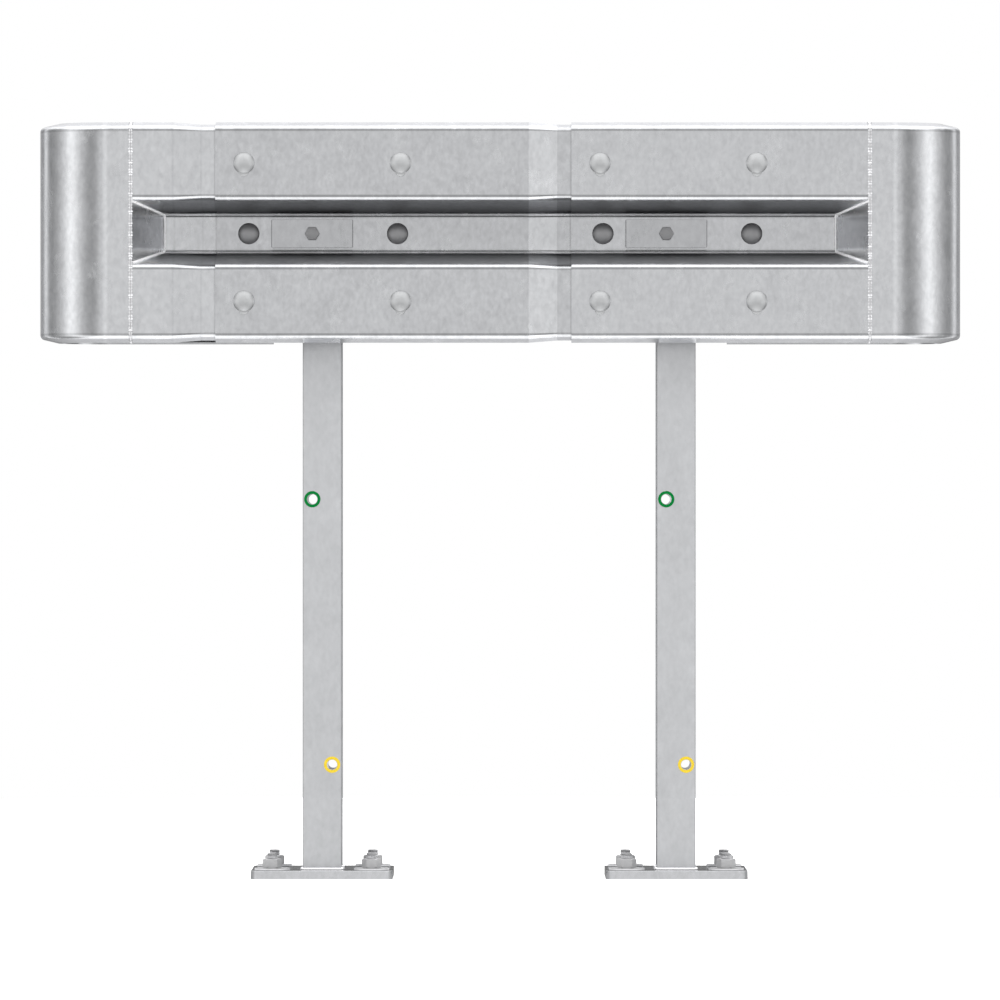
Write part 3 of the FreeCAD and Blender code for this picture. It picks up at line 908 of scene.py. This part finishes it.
class SheetFinish(bpy.types.Operator):
    """Give the three beams, the two noses and the closure plates their galvanised finish"""

    bl_idname = "barrier.sheet_finish"
    bl_label = "Galvanise the beams and noses"

    def execute(self, context):
        finish = finish_settings()
        centre = beam_section()[-1]
        beams = {
            "middle_beam": ZincCoat(
                "zinc_middle_beam", finish, 0.90, 0.0, streaks=0.04, patches=0.14, contrast=1.15),
            "left_end_beam": ZincCoat("zinc_left_beam", finish, 0.99, 1.3, streaks=0.07, patches=0.09),
            "right_end_beam": ZincCoat("zinc_right_beam", finish, 0.94, 2.9, streaks=0.04, patches=0.11),
        }
        self.joggles(beams["left_end_beam"], beams["middle_beam"])
        for name, coat in beams.items():
            # Painted light and shade across the beam's section
            coat.section(centre, BEAM_LIGHT_AND_SHADE)
            self.groove_and_lips(coat)
            dress(name, coat.finished())
        nose = ZincCoat("zinc_nose", finish, 0.99, 4.7, streaks=0.05, patches=0.04)
        # Painted dark lines along the nose's two outer folds
        nose.section(centre, NOSE_LIGHT_AND_SHADE)
        # Painted highlight where the noses start to curve
        nose.paint_light_and_shade(nose.along().magnitude(), *NOSE_TURN, 0.15, 2.5 * MM)
        nose_zinc = nose.finished()
        # Painted light: the closure plates sit deep in the groove, and their tone is raised 2.6 times and
        # more again towards their edges
        closure = ZincCoat("zinc_closure", finish, 2.6, 6.1, streaks=0.03, patches=0.05, contrast=1.4)
        closure.section(centre, CLOSURE_LIGHT_AND_SHADE)
        closure_zinc = closure.finished()
        for side in SIDES:
            dress(side + "_nose", nose_zinc)
            dress(side + "_groove_closure", closure_zinc)
        return {"FINISHED"}

    def joggles(self, left, middle):
        """Painted light and shade: a painted highlight on the sloping stretch of the middle joggle, a painted
        shadow on the sheet that lies just behind a lap, and painted dark lines at the kinks of the left
        joggle, whose slope is barely lightened.
        """
        middle.paint_light_and_shade(middle.along(), *MIDDLE_JOGGLE, 0.31)
        for behind, in_front in ((left, "middle_beam"), (middle, "right_end_beam")):
            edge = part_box(in_front)[0].x
            behind.paint_light_and_shade(behind.along(), edge - LAP_SHADE, edge, -0.16, 0.5 * MM)
        left.paint_light_and_shade(left.along(), *LEFT_JOGGLE, 0.02, 1.5 * MM)
        for kink in LEFT_JOGGLE:
            left.paint_light_and_shade(left.along(), kink - KINK_REACH, kink + KINK_REACH, -0.07, 1.2 * MM)

    def groove_and_lips(self, coat):
        """Painted reflection on the bends as a matt grey band, a painted dark line in the upper crease,
        rougher walls in the groove, a painted highlight on the walls beside the closure plates, and a painted
        reflection of the posts on the lower lip where they stand behind it.
        """
        # Painted reflection of the bends as a matt grey band
        coat.matt(*BEND_PAINTED_REFLECTION)
        # Painted dark line in the upper crease
        coat.paint_light_and_shade(coat.rise, *UPPER_CREASE, -0.45, 0.3 * MM)
        coat.dulled(*GROOVE_WALL, 0.16)
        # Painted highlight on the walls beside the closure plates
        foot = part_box("right_groove_closure")[0].x
        wall = coat.between(coat.height, *WALL_BESIDE_CLOSURE, 1 * MM)
        coat.paint_light_and_shade(coat.along().magnitude(), foot + 4 * MM, foot + CLOSURE_RUN, 0.8, 8 * MM, wall)
        # Painted reflection of the posts on the lower lip
        lip = (-coat.rise).step(*FLANGE_LIP)
        for side in SIDES:
            lowest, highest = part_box(side + "_post")
            coat.paint_light_and_shade(coat.along(), lowest.x + 2 * MM, highest.x - 1 * MM, 1.6, 1.2 * MM, lip)


class PostPieces(bpy.types.Operator):
    """Build the posts, base plates and cover straps with eased edges"""

    bl_idname = "barrier.post_pieces"
    bl_label = "Build posts, plates and straps"

    def execute(self, context):
        detail = detail_settings()
        finish = finish_settings()
        coat = ZincCoat("zinc_plate", finish, 0.88, 8.9, streaks=0.03, patches=0.06, contrast=0.7)
        plate_zinc = coat.finished(rougher=-0.12)
        for side in SIDES:
            coat = ZincCoat(
                side + "_zinc_strap", finish, 0.77, 9.7, streaks=0.01, patches=0.02, contrast=0.7)
            # The strap's zinc is darker overall than the beams', and painted shade runs along its two ends
            # where it stands proud of the valley
            coat.rim(side + "_cover_strap", 1.2 * MM, 0.6)
            strap_zinc = coat.finished()
            coat = ZincCoat(
                side + "_zinc_post", finish, 1.16, 7.3, streaks=0.02, patches=0.03, contrast=0.6)
            # Painted shade along the post's two upright edges
            coat.rim(side + "_post", 1.6 * MM, 0.3)
            post_zinc = coat.finished(rougher=0.16)
            post = edged_copy(side + "_post", detail.post_edge, lambda e: sharp_and_long(e, 20 * MM))
            stem = piece_from(side + "_post_stem", post, post_zinc, [side + "_post"])
            plate = edged_copy(side + "_base_plate", detail.plate_edge, lambda e: sharp_and_long(e, 4 * MM))
            foot = piece_from(side + "_plate", plate, plate_zinc, [side + "_base_plate"])
            strap = edged_copy(side + "_cover_strap", detail.strap_edge, self.on_rim(side))
            cover = piece_from(
                side + "_strap", strap, strap_zinc, [side + "_cover_strap"])
            for piece in (stem, foot, cover):
                even_normals(piece)
        return {"FINISHED"}

    def on_rim(self, side):
        """Test for the edges of a strap's front face that lie outside its bolt hole."""
        lowest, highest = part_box(side + "_cover_strap")
        middle = (lowest + highest) / 2

        def wanted(edge):
            in_front = all(abs(vert.co.y - lowest.y) < 1e-6 for vert in edge.verts)
            centre = (edge.verts[0].co + edge.verts[1].co) / 2
            away = math.hypot(centre.x - middle.x, centre.z - middle.z)
            return in_front and away > STRAP_HOLE and edge.calc_face_angle() > math.radians(30)

        return wanted


class WeldBeads(bpy.types.Operator):
    """Lay the rippled beads on the nose seams, round the closure plates and round the posts' feet"""

    bl_idname = "barrier.weld_beads"
    bl_label = "Lay the weld beads"

    def execute(self, context):
        detail = detail_settings()
        finish = finish_settings()
        zinc = plain_metal("zinc_bead", finish.bead, finish, 4 * MM, 0.25, roughness=0.32, lift=0.08 * MM)
        chalky = plain_metal(
            "zinc_groove_bead", finish.groove_bead, finish, 4 * MM, 0.3, lift=0.08 * MM, metallic=0.2)
        for side in SIDES:
            lowest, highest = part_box(side + "_nose_weld")
            seam = fresh()
            seam_bead(seam, (lowest.x + highest.x) / 2, detail)
            self.finish_bead(seam, side + "_seam_bead", zinc, side + "_nose_weld")
            corners = fresh()
            closure_bead(corners, -1 if side == "left" else 1, detail)
            self.finish_bead(corners, side + "_closure_bead", chalky, side + "_closure_weld")
            foot = fresh()
            foot_bead(foot, side, detail)
            self.finish_bead(foot, side + "_foot_bead", zinc, side + "_post_weld")
        return {"FINISHED"}

    def finish_bead(self, work, name, zinc, node):
        bmesh.ops.recalc_face_normals(work, faces=work.faces)
        piece_from(name, work, zinc, [node], 60)


class Fasteners(bpy.types.Operator):
    """Build the bolts and studs with their threads and give the nuts and washers their zinc"""

    bl_idname = "barrier.fasteners"
    bl_label = "Build the fasteners"

    def execute(self, context):
        detail = detail_settings()
        finish = finish_settings()
        pale = plain_metal(
            "zinc_crest_bolt", finish.crest_bolt, finish, 6 * MM, 0.15, lift=0.04 * MM,
            shade=head_shade("crest", CREST_HEAD_LIGHT_AND_SHADE, 0.2, 0.35))
        # Painted shade: the groove heads take the darker colour and painted light and shade by height
        shaded = plain_metal(
            "zinc_groove_bolt", finish.groove_shaded_bolt, finish, 5 * MM, 0.15, lift=0.04 * MM,
            shade=head_shade("groove", GROOVE_HEAD_LIGHT_AND_SHADE, 0.42, 0))
        # The post bolt takes the same painted shade of the groove
        hexagon = plain_metal("zinc_post_bolt", finish.groove_shaded_bolt, finish, 5 * MM, 0.1, lift=0.04 * MM)
        dull = plain_metal("zinc_fastener", finish.fastener, finish, 4 * MM, 0.25, roughness=0.34)
        cap = dark_cap(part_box("left_anchor_studs")[1].z, 3 * MM, 0.6)
        stud = plain_metal("zinc_stud", finish.stud, finish, 4 * MM, 0.25, shade=cap, metallic=0.3)
        nut = plain_metal("zinc_anchor_nut", finish.anchor_nut, finish, 4 * MM, 0.25, metallic=0.3)
        lowest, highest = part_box("left_anchor_washers")
        washer = plain_metal(
            "zinc_anchor_washer", finish.anchor_washer, finish, 4 * MM, 0.2, metallic=0.3,
            shade=dark_rims(lowest.z, highest.z, 1.3 * MM, 0.6))
        for side in SIDES:
            for kind, with_nib, zinc in (("crest", True, pale), ("groove", False, shaded)):
                bolts = splice_bolts(side, kind, with_nib, detail)
                node = side + "_" + kind + "_bolts"
                piece_from(node + "_threaded", bolts, zinc, [node])
            bolt = post_bolt(side, detail)
            piece_from(side + "_post_bolt_threaded", bolt, hexagon, [side + "_post_bolt"])
            studs = anchor_studs(side, detail)
            piece_from(side + "_anchor_threads", studs, stud, [side + "_anchor_studs"])
            for kind in ("crest", "groove"):
                dress(side + "_" + kind + "_washers", dull)
                dress(side + "_" + kind + "_nuts", dull)
            dress(side + "_post_washer", dull)
            dress(side + "_post_nut", dull)
            dress(side + "_anchor_nuts", nut)
            dress(side + "_anchor_washers", washer)
        return {"FINISHED"}


class MarkerRings(bpy.types.Operator):
    """Colour the rings that mark the free holes"""

    bl_idname = "barrier.marker_rings"
    bl_label = "Colour the rings"

    def execute(self, context):
        finish = finish_settings()
        green = enamel("ring_green", finish.green)
        yellow = enamel("ring_yellow", finish.yellow)
        for side in SIDES:
            dress(side + "_upper_hole_ring", green)
            dress(side + "_lower_hole_ring", yellow)
        return {"FINISHED"}


# Brightness of the studio by the angle from the front, in degrees
LIGHT_BESIDE = (
    (0, 0.482), (5, 0.487), (8, 0.505), (10, 0.505), (12, 0.42), (16, 0.245), (24, 0.163), (31, 0.21),
    (38, 0.275), (45, 0.375), (53, 0.54), (62, 0.75), (68, 0.69), (76, 0.45), (85, 0.35), (95, 0.235),
    (105, 0.19), (113, 0.165), (119, 0.20), (130, 0.80), (142, 0.18), (155, 0.36), (164, 0.30), (170, 0.14),
    (176, 0.08))
LIGHT_ABOVE = (
    (0, 0.482), (5, 0.487), (9, 0.33), (20, 0.38), (34, 0.38), (40, 0.90), (60, 1.0), (110, 1.0), (150, 0.88),
    (154, 0.90), (162, 0.70), (170, 0.30), (175, 0.07))
LIGHT_BELOW = (
    (0, 0.482), (5, 0.487), (9, 0.33), (20, 0.38), (34, 0.38), (40, 0.90), (110, 0.90), (150, 0.64),
    (174, 0.20))

# Where the light beside the barrier gives way to the light above and below it, by the slope of its direction
ABOVE_FADE = (0.35, 0.75)
BELOW_FADE = (0.90, 0.97)


class Studio(bpy.types.Operator):
    """Set up the pale floor, the soft studio light and the camera"""

    bl_idname = "barrier.studio"
    bl_label = "Set up the studio"

    def execute(self, context):
        studio = context.scene.barrier_studio
        context.scene.view_settings.view_transform = "Standard"
        self.floor(context, studio)
        self.light(context, studio)
        self.camera(context, studio)
        return {"FINISHED"}

    def floor(self, context, studio):
        work = fresh()
        bmesh.ops.create_circle(work, cap_ends=True, segments=96, radius=studio.floor_size / 2)
        mesh = bpy.data.meshes.new("floor")
        work.to_mesh(mesh)
        work.free()
        material, graph = new_graph("floor_white")
        shader = graph.node("ShaderNodeBsdfDiffuse", None, {"Color": (0.86, 0.86, 0.86, 1)})
        graph.node("ShaderNodeOutputMaterial", None, {"Surface": shader})
        mesh.materials.append(material)
        floor = bpy.data.objects.new("floor", mesh)
        floor.visible_glossy = False
        context.scene.collection.objects.link(floor)

    def light(self, context, studio):
        world = bpy.data.worlds.new("studio")
        world.use_nodes = True
        context.scene.world = world
        graph = Graph(world.node_tree)
        direction = graph.node("ShaderNodeTexCoord", None, None, "Generated")
        axis = graph.node("ShaderNodeSeparateXYZ", None, {"Vector": direction})
        forward, up = axis.output("Y"), axis.output("Z")
        turned = (-forward).arc_cosine() / math.pi
        lean = up / (1.000001 - forward * forward).root()
        bands = []
        for light in (LIGHT_BESIDE, LIGHT_ABOVE, LIGHT_BELOW):
            stops = [(angle / 180, grey) for angle, grey in light]
            bands.append(graph.node("ShaderNodeValToRGB", {"stops": stops}, {"Fac": turned}))
        beside, above, below = bands
        shown = graph.mixed(lean.step(*ABOVE_FADE), beside, above)
        shown = graph.mixed((-lean).step(*BELOW_FADE), shown, below)
        lit = graph.node("ShaderNodeBackground", None, {"Color": shown, "Strength": studio.light})
        plain = graph.node("ShaderNodeBackground", None, {"Color": (1, 1, 1, 1), "Strength": 1.0})
        seen = graph.node("ShaderNodeLightPath", None, None, "Is Camera Ray")
        both = graph.node("ShaderNodeMixShader", None, {0: seen, 1: lit, 2: plain})
        graph.node("ShaderNodeOutputWorld", None, {"Surface": both})

    def camera(self, context, studio):
        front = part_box("right_end_beam")[0].y
        camera = bpy.data.objects.new("camera", bpy.data.cameras.new("camera"))
        context.scene.collection.objects.link(camera)
        camera.location = (studio.camera_shift, front - studio.camera_distance, studio.camera_height)
        camera.rotation_euler = (math.pi / 2, 0, 0)
        camera.data.lens = studio.lens
        camera.data.sensor_width = 36
        camera.data.clip_end = 100
        context.scene.camera = camera


class BarrierPanel(bpy.types.Panel):
    """Lists the steps that finish the barrier"""

    bl_idname = "BARRIER_PT_steps"
    bl_label = "Crash barrier"
    bl_space_type = "VIEW_3D"
    bl_region_type = "UI"
    bl_category = "Barrier"

    def draw(self, context):
        layout = self.layout
        for step in STEPS:
            layout.operator(step.bl_idname)
        scene = context.scene
        for group in (scene.barrier_finish, scene.barrier_detail, scene.barrier_studio):
            box = layout.box()
            for name in group.bl_rna.properties.keys():
                if name not in ("rna_type", "name"):
                    box.prop(group, name)


STEPS = (SheetFinish, PostPieces, WeldBeads, Fasteners, MarkerRings, Studio)
GROUPS = (BarrierFinish, BarrierDetail, BarrierStudio)


def register():
    for kind in GROUPS + STEPS + (BarrierPanel,):
        bpy.utils.register_class(kind)
    bpy.types.Scene.barrier_finish = bpy.props.PointerProperty(type=BarrierFinish)
    bpy.types.Scene.barrier_detail = bpy.props.PointerProperty(type=BarrierDetail)
    bpy.types.Scene.barrier_studio = bpy.props.PointerProperty(type=BarrierStudio)


def unregister():
    del bpy.types.Scene.barrier_studio
    del bpy.types.Scene.barrier_detail
    del bpy.types.Scene.barrier_finish
    for kind in reversed(GROUPS + STEPS + (BarrierPanel,)):
        bpy.utils.unregister_class(kind)


def main():
    register()
    for step in STEPS:
        group, name = step.bl_idname.split(".")
        getattr(getattr(bpy.ops, group), name)()


if __name__ == "__main__":
    main()
